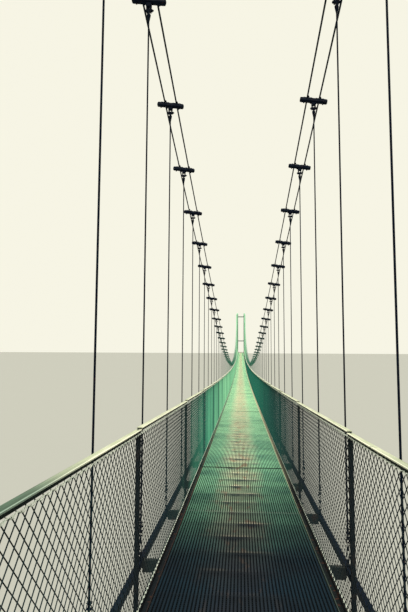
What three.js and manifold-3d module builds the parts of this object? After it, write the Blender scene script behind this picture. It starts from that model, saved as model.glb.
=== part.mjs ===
// Rope suspension footbridge: a scale model at one tenth of the real size.
// Millimetres, +Z up, +Y along the walkway. The origin is on the ground below mid-span.
import * as THREE from 'three';
import { mergeVertices } from 'three/addons/utils/BufferGeometryUtils.js';
import Module from 'manifold-3d';

// Spans and levels
const SPAN = 15000; // clear span between the towers, 150 m on the real bridge
const HALF_SPAN = SPAN / 2;
const DECK_LOW_Z = 120; // walking surface at mid-span
const DECK_DIP = 202.5; // how much higher the walking surface is at the towers
const CABLE_LOW = 134; // main cables over the deck at mid-span
const CABLE_DIP = 1099; // how much higher the main cables are at the towers
const DECK_STEP = 600; // length of a straight run of the deck line
const CABLE_STEP = 300; // length of a straight run of a main cable
const GAP = 0.4; // clearance where two pieces rest on each other

// Lengthwise divisions
const HANGER_PITCH = 150;
const POST_PITCH = 300;
const POST_OFFSET = 50; // a fence post stands this far past a deck panel's joint
const SECTIONS = 5; // lengths of the fences, the hangers and the frame under the deck
const SECTION_LENGTH = SPAN / SECTIONS;
const GRATINGS = 10; // lengths of the deck's grating
const GRATING_LENGTH = SPAN / GRATINGS;
const FRAME_JOINT_SHIFT = 75; // the frame's joints lie between two hangers

// Deck
const DECK_HALF_WIDTH = 66;
const GRATING_DEPTH = 3;
const BEAM_WIDTH = 5;
const BEAM_DEPTH = 10;
const STRINGER_WIDTH = 4;
const STRINGER_DEPTH = 6;
const END_BEAM_INSET = 6; // the last crossbeam's middle from the deck's end

// Fence, measured outwards from the middle of the deck
const FENCE_INNER_X = 70; // inner faces of the handrail and the foot rail
const FENCE_OUTER_X = 74; // outer faces of both rails and of the posts
const NETTING_X = 70.8;
const HANDRAIL_TOP = 122.4; // over the walking surface
const HANDRAIL_DEPTH = 1.5;
const FOOT_RAIL_TOP = 1;
const NETTING_THICKNESS = 0.8;
const FENCE_POST_WIDTH = 4;

// Hangers and main cables
const HANGER_X = 90;
const HANGER_SIZE = 1.4;
const CABLE_RADIUS = 1.1;
const CABLE_SPREAD = 7.4; // each cable of a pair from the hanger's plane
const CROSSBAR_LENGTH = 34;
const CROSSBAR_SIZE = 5.5;
const PAIR_TILT = THREE.MathUtils.degToRad(9); // the right-hand cable of each pair hangs lower

// Towers, abutments and anchorages
const TOWER_POST = 50;
const TOWER_X = 97;
const FOOT_PLATE = 62;
const TOWER_Y = HALF_SPAN + GAP + FOOT_PLATE / 2;
const FOOT_PLATE_DEPTH = 3;
const BEAM_SECTION = 20;
const PORTAL_HEIGHT = 300; // under the lower tower beam, over the walking surface
const HEAD_BEAM_DROP = 50; // the upper tower beam's top below the post's top
const SADDLE_RADIUS = 30; // bend of the cable's middle line over the tower
const SADDLE_WIDTH = 30;
const SADDLE_HALF_LENGTH = 18;
const SADDLE_SHOULDER = 10;
const SADDLE_FOOT = 5;
const BACKSTAY_ANGLE = THREE.MathUtils.degToRad(28.3);
const ABUTMENT_HALF_WIDTH = 150;
const ABUTMENT_FRONT = HALF_SPAN - 30;
const ABUTMENT_BACK = HALF_SPAN + 260;
const ANCHOR_FACE_Y = 9570; // where the backstays meet the anchor block
const ANCHOR_HALF_WIDTH = 140;
const ANCHOR_BACK = 9900;
const ANCHOR_TOP = 340;
const ANCHOR_TOE_TOP = 80;
const SOCKET_LENGTH = 50;
const SOCKET_WIDTH = 34;
const SOCKET_DEPTH = 20;

const FINISHES = {
  greenSteel: { color: 0x4f8f78, metalness: 0.4, roughness: 0.55 },
  darkSteel: { color: 0x2c3a38, metalness: 0.6, roughness: 0.5 },
  netting: { color: 0x2f5f52, metalness: 0.4, roughness: 0.6 },
  deck: { color: 0x5f7d70, metalness: 0.3, roughness: 0.7 },
  rope: { color: 0x3a4440, metalness: 0.7, roughness: 0.45 },
  concrete: { color: 0xa5a396, metalness: 0, roughness: 0.9 },
};

const wasm = await Module();
wasm.setup();

const bridge = new THREE.Group();
bridge.name = 'footbridge';

// Curves of the deck and of the cables

const deckCurve = (y) => DECK_LOW_Z + DECK_DIP * (y / HALF_SPAN) ** 2;
const cableCurve = (y) => DECK_LOW_Z + CABLE_LOW + CABLE_DIP * (y / HALF_SPAN) ** 2;

// Height on the straight runs between the curve's points, which are one step apart
function onStraightRuns(curve, step, y) {
  const lastRun = SPAN / step - 1;
  const run = THREE.MathUtils.clamp(Math.floor((y + HALF_SPAN) / step), 0, lastRun);
  const start = run * step - HALF_SPAN;
  const share = (y - start) / step;
  return THREE.MathUtils.lerp(curve(start), curve(start + step), share);
}

const deckZ = (y) => onStraightRuns(deckCurve, DECK_STEP, y);
const cableZ = (y) => onStraightRuns(cableCurve, CABLE_STEP, y);
const cableSlope = (y) => (cableZ(y + 1) - cableZ(y - 1)) / 2;

// The ends of a length, with the curve's own points that lie between them
function stations(from, to, step) {
  const inner = [];
  for (let y = -HALF_SPAN; y <= HALF_SPAN; y += step) {
    if (y > from + 1 && y < to - 1) {
      inner.push(y);
    }
  }
  return [from, ...inner, to];
}

// Solids

function box(width, length, height, x, y, z) {
  const geometry = new THREE.BoxGeometry(width, length, height);
  geometry.translate(x, y, z);
  return geometry;
}

// A profile of [x, z] points, anticlockwise when seen along +Y, carried along the given heights
function ribbon(profile, lengths, height) {
  const count = profile.length;
  const positions = [];
  const index = [];
  for (const y of lengths) {
    for (const [x, z] of profile) {
      positions.push(x, y, z + height(y));
    }
  }
  for (let ring = 0; ring < lengths.length - 1; ring += 1) {
    for (let corner = 0; corner < count; corner += 1) {
      const a = ring * count + corner;
      const b = ring * count + ((corner + 1) % count);
      index.push(a, a + count, b);
      index.push(b, a + count, b + count);
    }
  }
  const outline = profile.map(([x, z]) => new THREE.Vector2(x, z));
  const last = (lengths.length - 1) * count;
  for (const [a, b, c] of THREE.ShapeUtils.triangulateShape(outline, [])) {
    index.push(a, b, c);
    index.push(last + c, last + b, last + a);
  }
  const geometry = new THREE.BufferGeometry();
  geometry.setAttribute('position', new THREE.Float32BufferAttribute(positions, 3));
  geometry.setIndex(index);
  return geometry;
}

function rectangle(x0, x1, z0, z1) {
  return [[x0, z0], [x1, z0], [x1, z1], [x0, z1]];
}

// The same profile on the other side of the walkway, still anticlockwise
function onSide(side, profile) {
  if (side > 0) {
    return profile;
  }
  return profile.map(([x, z]) => [-x, z]).reverse();
}

function toSolid(geometry) {
  const bare = geometry.clone();
  bare.deleteAttribute('normal');
  bare.deleteAttribute('uv');
  const merged = mergeVertices(bare, 1e-4);
  return new wasm.Manifold(new wasm.Mesh({
    numProp: 3,
    vertProperties: new Float32Array(merged.attributes.position.array),
    triVerts: new Uint32Array(merged.index.array),
  }));
}

function join(geometries) {
  const joined = geometries.map(toSolid).reduce((whole, next) => whole.add(next));
  const mesh = joined.getMesh();
  const geometry = new THREE.BufferGeometry();
  geometry.setAttribute('position', new THREE.BufferAttribute(mesh.vertProperties, 3));
  geometry.setIndex(new THREE.BufferAttribute(mesh.triVerts, 1));
  return geometry;
}

function place(name, geometry, finish, x = 0, y = 0, z = 0) {
  const mesh = new THREE.Mesh(geometry, new THREE.MeshStandardMaterial(FINISHES[finish]));
  mesh.name = name;
  mesh.position.set(x, y, z);
  bridge.add(mesh);
  return mesh;
}

// Deck grating, crossbeams, fences and hangers, section by section

function gratingSection(number, from, to) {
  const middle = (from + to) / 2;
  const profile = rectangle(-DECK_HALF_WIDTH, DECK_HALF_WIDTH, -GRATING_DEPTH, 0);
  const lengths = stations(from + GAP / 2, to - GAP / 2, DECK_STEP).map((y) => y - middle);
  const geometry = ribbon(profile, lengths, (y) => deckZ(y + middle));
  place(`deck_grating_${number}`, geometry, 'deck', 0, middle, 0);
}

function hangerPlaces(from, to) {
  const places = [];
  for (let y = -HALF_SPAN + HANGER_PITCH; y < HALF_SPAN; y += HANGER_PITCH) {
    if (y > from && y < to) {
      places.push(y);
    }
  }
  return places;
}

const BEAM_TOP = -GRATING_DEPTH - GAP;
const STRINGER_Z0 = BEAM_TOP - STRINGER_DEPTH;
const EDGE_X0 = HANGER_X - STRINGER_WIDTH / 2;
const EDGE_X1 = HANGER_X + STRINGER_WIDTH / 2;
const CROSSBEAM_HALF = EDGE_X0 - GAP;

function crossbeamSection(number, from, to) {
  const middle = (from + to) / 2;
  const profile = rectangle(-STRINGER_WIDTH / 2, STRINGER_WIDTH / 2, STRINGER_Z0, BEAM_TOP);
  const lengths = stations(from + GAP / 2, to - GAP / 2, DECK_STEP).map((y) => y - middle);
  const pieces = [ribbon(profile, lengths, (y) => deckZ(y + middle))];
  const places = hangerPlaces(from, to);
  if (from === -HALF_SPAN) {
    places.push(from + END_BEAM_INSET);
  }
  if (to === HALF_SPAN) {
    places.push(to - END_BEAM_INSET);
  }
  for (const y of places) {
    const z = deckZ(y) + BEAM_TOP - BEAM_DEPTH / 2;
    pieces.push(box(2 * CROSSBEAM_HALF, BEAM_WIDTH, BEAM_DEPTH, 0, y - middle, z));
  }
  place(`crossbeams_${number}`, join(pieces), 'darkSteel', 0, middle, 0);
}

function fenceProfile() {
  const inner = FENCE_INNER_X;
  const outer = FENCE_OUTER_X;
  const netInner = NETTING_X - NETTING_THICKNESS / 2;
  const netOuter = NETTING_X + NETTING_THICKNESS / 2;
  const foot = -GRATING_DEPTH;
  const railUnderside = HANDRAIL_TOP - HANDRAIL_DEPTH;
  return [
    [inner, foot], [outer, foot], [outer, FOOT_RAIL_TOP],
    [netOuter, FOOT_RAIL_TOP], [netOuter, railUnderside], [outer, railUnderside],
    [outer, HANDRAIL_TOP], [inner, HANDRAIL_TOP], [inner, railUnderside],
    [netInner, railUnderside], [netInner, FOOT_RAIL_TOP], [inner, FOOT_RAIL_TOP],
  ];
}

function fenceSection(name, side, from, to) {
  const middle = (from + to) / 2;
  const lengths = stations(from + GAP / 2, to - GAP / 2, DECK_STEP).map((y) => y - middle);
  const pieces = [ribbon(onSide(side, fenceProfile()), lengths, (y) => deckZ(y + middle))];
  const bottom = -GRATING_DEPTH / 2;
  const top = HANDRAIL_TOP - HANDRAIL_DEPTH / 2;
  const postDepth = FENCE_OUTER_X - NETTING_X;
  const x = side * (NETTING_X + postDepth / 2);
  for (let y = from + POST_OFFSET; y < to; y += POST_PITCH) {
    const z = deckZ(y) + (bottom + top) / 2;
    pieces.push(box(postDepth, FENCE_POST_WIDTH, top - bottom, x, y - middle, z));
  }
  place(name, join(pieces), 'netting', 0, middle, 0);
}

// The right-hand cable of a pair is lower along the span and level with the other at the saddle
function pairTilt(y) {
  return PAIR_TILT * THREE.MathUtils.clamp((HALF_SPAN - Math.abs(y)) / CABLE_STEP, 0, 1);
}

function hangerSection(name, side, from, to) {
  const middle = (from + to) / 2;
  const x = side * HANGER_X;
  const lengths = stations(from + GAP / 2, to - GAP / 2, DECK_STEP).map((y) => y - middle);
  const profile = onSide(side, rectangle(EDGE_X0, EDGE_X1, STRINGER_Z0, BEAM_TOP));
  const pieces = [ribbon(profile, lengths, (y) => deckZ(y + middle))];
  const barDrop = CABLE_RADIUS + GAP + CROSSBAR_SIZE / 2;
  for (const y of hangerPlaces(from, to)) {
    const slope = Math.atan(cableSlope(y));
    const tilt = pairTilt(y);
    const barZ = cableZ(y) - barDrop / (Math.cos(slope) * Math.cos(tilt));
    const foot = deckZ(y) + BEAM_TOP - STRINGER_DEPTH / 2;
    const hanger = box(HANGER_SIZE, HANGER_SIZE, barZ - foot, x, y - middle, (barZ + foot) / 2);
    const crossbar = new THREE.BoxGeometry(CROSSBAR_LENGTH, CROSSBAR_SIZE, CROSSBAR_SIZE);
    crossbar.rotateY(tilt);
    crossbar.rotateX(slope);
    crossbar.translate(x, y - middle, barZ);
    pieces.push(hanger, crossbar);
  }
  place(name, join(pieces), 'darkSteel', 0, middle, 0);
}

for (let number = 1; number <= GRATINGS; number += 1) {
  const from = -HALF_SPAN + (number - 1) * GRATING_LENGTH;
  gratingSection(number, from, from + GRATING_LENGTH);
}

for (let number = 1; number <= SECTIONS; number += 1) {
  const from = -HALF_SPAN + (number - 1) * SECTION_LENGTH;
  const to = from + SECTION_LENGTH;
  const frameFrom = number === 1 ? from : from + Math.sign(from) * FRAME_JOINT_SHIFT;
  const frameTo = number === SECTIONS ? to : to + Math.sign(to) * FRAME_JOINT_SHIFT;
  crossbeamSection(number, frameFrom, frameTo);
  for (const [word, side] of [['left', -1], ['right', 1]]) {
    fenceSection(`${word}_fence_${number}`, side, from, to);
    hangerSection(`${word}_hangers_${number}`, side, frameFrom, frameTo);
  }
}

// Main cables, each whole from anchorage to anchorage

const towerSlope = Math.atan(cableSlope(HALF_SPAN - 1));
const bendStartY = TOWER_Y - SADDLE_RADIUS * Math.sin(towerSlope);
const bendStartZ = cableCurve(HALF_SPAN) + (bendStartY - HALF_SPAN) * Math.tan(towerSlope);
const bendCentreZ = bendStartZ - SADDLE_RADIUS * Math.cos(towerSlope);
const BEND_STEPS = 5;

// Side view of the bend over a tower, as [distance from mid-span, height]
function saddleBend(radius) {
  const points = [];
  for (let step = 0; step <= BEND_STEPS; step += 1) {
    const angle = THREE.MathUtils.lerp(-towerSlope, BACKSTAY_ANGLE, step / BEND_STEPS);
    points.push([TOWER_Y + radius * Math.sin(angle), bendCentreZ + radius * Math.cos(angle)]);
  }
  return points;
}

const [backstayTopY, backstayTopZ] = saddleBend(SADDLE_RADIUS)[BEND_STEPS];
const backstayZ = (y) => backstayTopZ - (y - backstayTopY) * Math.tan(BACKSTAY_ANGLE);
const cableEndY = ANCHOR_FACE_Y - (SOCKET_LENGTH + 2 * GAP) * Math.cos(BACKSTAY_ANGLE);

// A path whose rings fall exactly on its own points
class RopeLine extends THREE.Curve {
  constructor(points) {
    super();
    this.points = points;
  }

  getPoint(t, target = new THREE.Vector3()) {
    const place = t * (this.points.length - 1);
    const start = Math.min(Math.floor(place), this.points.length - 2);
    return target.lerpVectors(this.points[start], this.points[start + 1], place - start);
  }

  getPointAt(u, target) {
    return this.getPoint(u, target);
  }

  getTangentAt(u, target = new THREE.Vector3()) {
    const step = 0.5 / (this.points.length - 1);
    const before = this.getPoint(Math.max(0, u - step));
    const after = this.getPoint(Math.min(1, u + step));
    return target.subVectors(after, before).normalize();
  }
}

function cableGeometry(x) {
  const half = [[cableEndY, backstayZ(cableEndY)], ...saddleBend(SADDLE_RADIUS).reverse()];
  const points = half.map(([y, z]) => new THREE.Vector3(x, -y, z));
  const fromPairMiddle = x - Math.sign(x) * HANGER_X;
  for (const y of stations(-HALF_SPAN, HALF_SPAN, CABLE_STEP)) {
    points.push(new THREE.Vector3(x, y, cableZ(y) - fromPairMiddle * Math.tan(pairTilt(y))));
  }
  for (const [y, z] of half.reverse()) {
    points.push(new THREE.Vector3(x, y, z));
  }
  const section = new THREE.Shape();
  for (let corner = 0; corner < 6; corner += 1) {
    const angle = (corner / 6) * 2 * Math.PI;
    section[corner ? 'lineTo' : 'moveTo'](
      CABLE_RADIUS * Math.cos(angle),
      CABLE_RADIUS * Math.sin(angle),
    );
  }
  const path = new RopeLine(points);
  return new THREE.ExtrudeGeometry(section, { steps: points.length - 1, extrudePath: path });
}

place('left_outer_cable', cableGeometry(-HANGER_X - CABLE_SPREAD), 'rope');
place('left_inner_cable', cableGeometry(-HANGER_X + CABLE_SPREAD), 'rope');
place('right_inner_cable', cableGeometry(HANGER_X - CABLE_SPREAD), 'rope');
place('right_outer_cable', cableGeometry(HANGER_X + CABLE_SPREAD), 'rope');

// Towers, abutments and anchorages, the same at both ends

// An outline in side view, as [distance from mid-span, height], drawn out across the bridge
function acrossBridge(end, outline, width) {
  const shape = new THREE.Shape(outline.map(([y, z]) => new THREE.Vector2(end * y, z)));
  const geometry = new THREE.ExtrudeGeometry(shape, { depth: width, bevelEnabled: false });
  geometry.translate(0, 0, -width / 2);
  geometry.rotateX(Math.PI / 2);
  geometry.rotateZ(Math.PI / 2);
  return geometry;
}

const landingZ = deckCurve(HALF_SPAN);
const seatZ = deckZ(HALF_SPAN - END_BEAM_INSET) + BEAM_TOP - BEAM_DEPTH - GAP;
const saddleFootZ = bendCentreZ - SADDLE_FOOT;
const postTopZ = saddleFootZ - GAP;
const beamLength = 2 * (TOWER_X - TOWER_POST / 2 - GAP);

function abutment(end) {
  const outline = [
    [ABUTMENT_FRONT, 0], [ABUTMENT_BACK, 0], [ABUTMENT_BACK, landingZ],
    [HALF_SPAN + GAP / 2, landingZ], [HALF_SPAN + GAP / 2, seatZ], [ABUTMENT_FRONT, seatZ],
  ];
  return acrossBridge(end, outline, 2 * ABUTMENT_HALF_WIDTH);
}

function anchorBlock(end) {
  const faceLean = Math.tan(BACKSTAY_ANGLE);
  const faceY = (z) => ANCHOR_FACE_Y + (z - backstayZ(ANCHOR_FACE_Y)) * faceLean;
  const outline = [
    [faceY(ANCHOR_TOE_TOP), 0], [ANCHOR_BACK, 0], [ANCHOR_BACK, ANCHOR_TOP],
    [faceY(ANCHOR_TOP), ANCHOR_TOP], [faceY(ANCHOR_TOE_TOP), ANCHOR_TOE_TOP],
  ];
  return acrossBridge(end, outline, 2 * ANCHOR_HALF_WIDTH);
}

function towerPost() {
  const plateZ = landingZ + GAP + FOOT_PLATE_DEPTH / 2;
  const foot = plateZ;
  return join([
    box(TOWER_POST, TOWER_POST, postTopZ - foot, 0, 0, (postTopZ + foot) / 2),
    box(FOOT_PLATE, FOOT_PLATE, FOOT_PLATE_DEPTH, 0, 0, plateZ),
  ]);
}

function saddle(end) {
  const topRadius = SADDLE_RADIUS - CABLE_RADIUS - GAP;
  const outline = [
    [TOWER_Y + SADDLE_HALF_LENGTH, bendCentreZ + SADDLE_SHOULDER],
    [TOWER_Y + SADDLE_HALF_LENGTH, saddleFootZ],
    [TOWER_Y - SADDLE_HALF_LENGTH, saddleFootZ],
    [TOWER_Y - SADDLE_HALF_LENGTH, bendCentreZ + SADDLE_SHOULDER],
    ...saddleBend(topRadius),
  ];
  return acrossBridge(end, outline, SADDLE_WIDTH);
}

for (const [word, end] of [['near', -1], ['far', 1]]) {
  place(`${word}_abutment`, abutment(end), 'concrete');
  place(`${word}_anchor_block`, anchorBlock(end), 'concrete');
  const beam = box(beamLength, BEAM_SECTION, BEAM_SECTION, 0, 0, 0);
  const portalZ = landingZ + PORTAL_HEIGHT + BEAM_SECTION / 2;
  const headZ = postTopZ - HEAD_BEAM_DROP - BEAM_SECTION / 2;
  place(`${word}_tower_portal_beam`, beam, 'greenSteel', 0, end * TOWER_Y, portalZ);
  place(`${word}_tower_head_beam`, beam.clone(), 'greenSteel', 0, end * TOWER_Y, headZ);
  for (const [hand, side] of [['left', -1], ['right', 1]]) {
    place(`${word}_${hand}_tower_post`, towerPost(), 'greenSteel', side * TOWER_X, end * TOWER_Y);
    place(`${word}_${hand}_saddle`, saddle(end), 'darkSteel', side * HANGER_X);
    const socket = box(SOCKET_WIDTH, SOCKET_LENGTH, SOCKET_DEPTH, 0, 0, 0);
    const reach = SOCKET_LENGTH / 2 + GAP;
    const socketY = ANCHOR_FACE_Y - reach * Math.cos(BACKSTAY_ANGLE);
    const socketMesh = place(
      `${word}_${hand}_anchor_socket`, socket, 'darkSteel',
      side * HANGER_X, end * socketY, backstayZ(socketY),
    );
    socketMesh.rotation.x = -end * BACKSTAY_ANGLE;
  }
}

export default bridge;
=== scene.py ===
"""Looks of the rope suspension footbridge, a scale model at one tenth of the real size.

Metres, +Y along the walkway and +Z up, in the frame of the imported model. Every piece that is made
here stands where its CAD node stands, and takes its place from the frame or from the curves below.
"""
import math

import bmesh
import bpy
from mathutils import Matrix, Vector


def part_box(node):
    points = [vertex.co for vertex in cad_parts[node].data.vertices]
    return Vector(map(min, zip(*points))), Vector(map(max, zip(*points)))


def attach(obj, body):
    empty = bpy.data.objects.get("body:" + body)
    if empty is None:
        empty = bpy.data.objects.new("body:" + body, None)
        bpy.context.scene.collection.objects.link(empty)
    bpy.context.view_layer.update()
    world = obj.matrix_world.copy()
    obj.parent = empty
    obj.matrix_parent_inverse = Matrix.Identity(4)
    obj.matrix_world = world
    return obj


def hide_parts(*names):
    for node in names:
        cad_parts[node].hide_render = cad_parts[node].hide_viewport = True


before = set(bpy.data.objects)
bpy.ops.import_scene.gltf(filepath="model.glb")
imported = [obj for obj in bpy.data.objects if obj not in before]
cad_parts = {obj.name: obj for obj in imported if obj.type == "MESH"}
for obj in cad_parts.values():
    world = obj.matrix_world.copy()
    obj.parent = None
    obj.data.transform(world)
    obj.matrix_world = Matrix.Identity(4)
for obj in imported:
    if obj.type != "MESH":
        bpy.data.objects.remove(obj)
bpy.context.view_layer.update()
MM = 0.001


def mm(*sizes):
    """Sizes in millimetres, as the metres of the scene."""
    return tuple(size * MM for size in sizes)


# Driving dimensions of the bridge
HALF_SPAN = 7.5
DECK_LOW = 0.120
DECK_RISE = 0.2025
CABLE_LOW = 0.254
CABLE_RISE = 1.099
HANGER_PITCH = 150 * MM
POST_PITCH = 300 * MM
POST_OFFSET = 50 * MM  # from a tower to the first fence post
FRAME_SHIFT = 75 * MM  # from the fences' joints to the frame's, away from mid-span
HANGER_X = 90 * MM
CABLE_SPREAD = 7.4 * MM  # half the distance between the two cables of a side
CABLE_RADIUS = 0.98 * MM
BAR_DROP = 4.25 * MM  # from the cables' line down to the middle of a crossbar
BAR_SIZE = 5.5 * MM
BAR_LENGTH = 34 * MM
PAIR_TILT = math.radians(9)
TILT_FADE = 300 * MM  # the last run before a tower, where the cables lose their tilt
RAIL_TOP = 122.4 * MM
TOWER_POST = 50 * MM
CHAMFER = 2 * MM
GAP = 0.4 * MM  # between pieces that bear on each other
SIDES = (("left", -1), ("right", 1))
ENDS = (("near", -1), ("far", 1))

# The two curves, as inputs of the geometry trees
ON_DECK = {"Low": DECK_LOW, "Rise": DECK_RISE}
ON_CABLE = {"Low": CABLE_LOW, "Rise": CABLE_RISE}

# Sizes that are read from the frame
DECK_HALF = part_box("deck_grating_5")[1].x
DECK_DEPTH = DECK_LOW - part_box("deck_grating_5")[0].z
FENCE_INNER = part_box("right_fence_3")[0].x
FENCE_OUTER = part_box("right_fence_3")[1].x
TOWER_Y = sum(corner.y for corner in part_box("far_left_tower_post")) / 2
GRATINGS = sum(name.startswith("deck_grating_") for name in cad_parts)
SECTIONS = sum(name.startswith("crossbeams_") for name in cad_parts)

# Levels and places that follow from them
BEAM_TOP = -DECK_DEPTH - GAP
JOIST_DEPTH = 6 * MM
END_BEAM_INSET = 6 * MM
SECTION_LENGTH = 2 * HALF_SPAN / SECTIONS
FIRST_POST_Y = -HALF_SPAN + POST_OFFSET

# The grating's panels: their joints, the bearers between them and the strips on top
PANEL_LENGTH = 250 * MM
BEARERS_A_PANEL = 6
BEARER_PITCH = PANEL_LENGTH / BEARERS_A_PANEL
JOINT_Y = -4.558
WIDE_JOINT = 6.5 * MM
NARROW_JOINT = 0.8 * MM
PANELS_A_WIDE_JOINT = 4
SHORTEST_PANEL = 1 * MM
EDGE_BAR = 0.6 * MM
END_BAR_TOP = -0.7 * MM
BEARER_HALF = 1.2 * MM
BEARER_TOP = -1.7 * MM
STRIP_PITCH = 2.65 * MM
STRIP_WIDTH = 1.5 * MM
STRIP_DEPTH = 1.5 * MM
STRIPS_A_SIDE = 24
TRODDEN_STRIPS = 11
SAG = 0.8 * MM
SAG_FULL_TO_X = 10 * MM
SAG_NONE_FROM_X = 29 * MM
SLAT_PITCH = 3 * MM
SLAT_HALF = (65.3 * MM, 0.2 * MM)
SLAT_INSET = 2 * MM
SLAT_TOP = -1.4 * MM

# The fences: their rails, netting, line wires and the lacing that is wound round those
RAIL_JOINT = 1 * MM
RAIL_STEP = 1.2 * MM  # between the tops of two handrail lengths at their joint
MESH_WIDTH = 7.07 * MM
NET_X = 70.8 * MM
NET_BOTTOM = 1.4 * MM
NET_TOP = 119.2 * MM
NET_WIRE = 0.26 * MM
LINE_WIRE = 0.26 * MM
LINE_LEVELS = (NET_TOP, NET_BOTTOM + 1.2 * MM)
LACING_INSET = 1 * MM
LACING_RADIUS = 0.75 * MM
LACING_WIRE = 0.30 * MM
LACING_STEP = MESH_WIDTH / 4


def deck_z(y):
    """The deck's height, for a plain number or for a value in a node graph."""
    return DECK_LOW + DECK_RISE * (y / HALF_SPAN) ** 2


def cable_z(y):
    """The height of the line between the main cables, for a number or a graph's value."""
    return CABLE_LOW + CABLE_RISE * (y / HALF_SPAN) ** 2


def pair_tilt(y):
    return PAIR_TILT * min(max((HALF_SPAN - abs(y)) / TILT_FADE, 0), 1)


def section_span(number, count, shift=0.0):
    """The two ends of one of a member's equal lengths, a gap short of its joints.

    A shift moves the joints between the lengths outwards from the middle of the bridge.
    """
    length = 2 * HALF_SPAN / count
    start = -HALF_SPAN + (number - 1) * length
    end = start + length
    start += math.copysign(shift, start) if number > 1 else 0
    end += math.copysign(shift, end) if number < count else 0
    return start + GAP / 2, end - GAP / 2


def hanger_places(start, end):
    """Where the hangers stand between two ends of the main span."""
    last = round(HALF_SPAN / HANGER_PITCH) - 1
    places = [number * HANGER_PITCH for number in range(-last, last + 1)]
    return [y for y in places if start < y < end]


# Node graphs, for finishes and for geometry


def arithmetic(operation):
    """An operator's two methods: with the value in front, and with it behind a plain number."""

    def plain(value, other):
        return value.calculate(operation, other)

    def reflected(value, other):
        return value.graph.add("ShaderNodeMath", {"operation": operation}, {0: other, 1: value})

    return plain, reflected


class Value:
    """A number in a node graph. Arithmetic on it adds Math nodes."""

    def __init__(self, graph, socket):
        self.graph = graph
        self.socket = socket

    def calculate(self, operation, *others):
        values = dict(enumerate((self, *others)))
        return self.graph.add("ShaderNodeMath", {"operation": operation}, values)

    __add__, __radd__ = arithmetic("ADD")
    __sub__, __rsub__ = arithmetic("SUBTRACT")
    __mul__, __rmul__ = arithmetic("MULTIPLY")
    __truediv__, __rtruediv__ = arithmetic("DIVIDE")
    __pow__, __rpow__ = arithmetic("POWER")

    def __abs__(self):
        return self.calculate("ABSOLUTE")

    def fraction(self):
        return self.calculate("FRACT")

    def clamp(self, low=0.0, high=1.0):
        return self.calculate("MINIMUM", high).calculate("MAXIMUM", low)

    def eased(self, start, end, low, high):
        span = {"Value": self, "From Min": start, "From Max": end, "To Min": low, "To Max": high}
        return self.graph.add("ShaderNodeMapRange", {"interpolation_type": "SMOOTHSTEP"}, span)

    def rising(self, start, end):
        """0 below start, rising smoothly to 1 at end."""
        return self.eased(start, end, 0.0, 1.0)

    def falling(self, start, end):
        """1 below start, sinking smoothly to 0 at end."""
        return self.eased(start, end, 1.0, 0.0)


class Graph:
    """A node tree that is written as expressions."""

    def __init__(self, tree):
        self.tree = tree
        tree.nodes.clear()

    def add(self, kind, settings=None, inputs=None, output=0):
        """Adds a node: its settings first, then its sockets' values or links."""
        node = self.tree.nodes.new(kind)
        for name, value in (settings or {}).items():
            setattr(node, name, value)
        for key, value in (inputs or {}).items():
            if isinstance(value, Value):
                self.tree.links.new(value.socket, node.inputs[key])
            else:
                node.inputs[key].default_value = value
        if isinstance(output, tuple):
            return [Value(self, node.outputs[name]) for name in output]
        return Value(self, node.outputs[output])

    def vector(self, x, y, z):
        return self.add("ShaderNodeCombineXYZ", None, {"X": x, "Y": y, "Z": z})

    def split(self, vector):
        return self.add("ShaderNodeSeparateXYZ", None, {"Vector": vector}, ("X", "Y", "Z"))


# A Mix node's colour sockets have the same names as its other ones, so they go by number
MIX_COLOURS = (6, 7)
MIXED_COLOUR = 2


class Finish(Graph):
    """A procedural material on Object coordinates."""

    def __init__(self, name, **constants):
        self.material = bpy.data.materials.new(name)
        self.material.use_nodes = True
        super().__init__(self.material.node_tree)
        self.surface = self.tree.nodes.new("ShaderNodeBsdfPrincipled")
        for socket, value in constants.items():
            label = socket.replace("_", " ").title().replace("Ior", "IOR")
            self.surface.inputs[label].default_value = value
        output = self.tree.nodes.new("ShaderNodeOutputMaterial")
        self.tree.links.new(self.surface.outputs[0], output.inputs[0])
        self.place = self.add("ShaderNodeTexCoord", None, None, "Object")
        self.x, self.y, self.z = self.split(self.place)

    def noise(self, scale, detail=3.0, place=None):
        inputs = {"Vector": place or self.place, "Scale": scale, "Detail": detail}
        return self.add("ShaderNodeTexNoise", None, inputs)

    def streaks(self, x, y, z, detail=4.0):
        """Noise that has a scale of its own along each axis."""
        place = self.add("ShaderNodeMapping", None, {"Vector": self.place, "Scale": (x, y, z)})
        return self.noise(1.0, detail, place)

    def from_nearest(self, place, origin, pitch):
        """How far a place is from the nearest of the marks that stand a pitch apart."""
        share = ((place - origin) / pitch).fraction()
        return share.calculate("MINIMUM", 1 - share) * pitch

    def mix(self, share, first, second):
        """The first colour where share is 0, the second where it is 1."""
        inputs = {0: share}
        for key, colour in zip(MIX_COLOURS, (first, second)):
            inputs[key] = colour if isinstance(colour, Value) else (*colour, 1.0)
        return self.add("ShaderNodeMix", {"data_type": "RGBA"}, inputs, MIXED_COLOUR)

    def send(self, socket, value):
        self.tree.links.new(value.socket, self.surface.inputs[socket])

    def relief(self, height, distance, strength=0.5):
        bump = {"Height": height, "Distance": distance, "Strength": strength}
        self.send("Normal", self.add("ShaderNodeBump", None, bump))

    def done(self, colour, roughness):
        self.send("Base Color", colour)
        self.send("Roughness", roughness)
        return self.material


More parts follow.
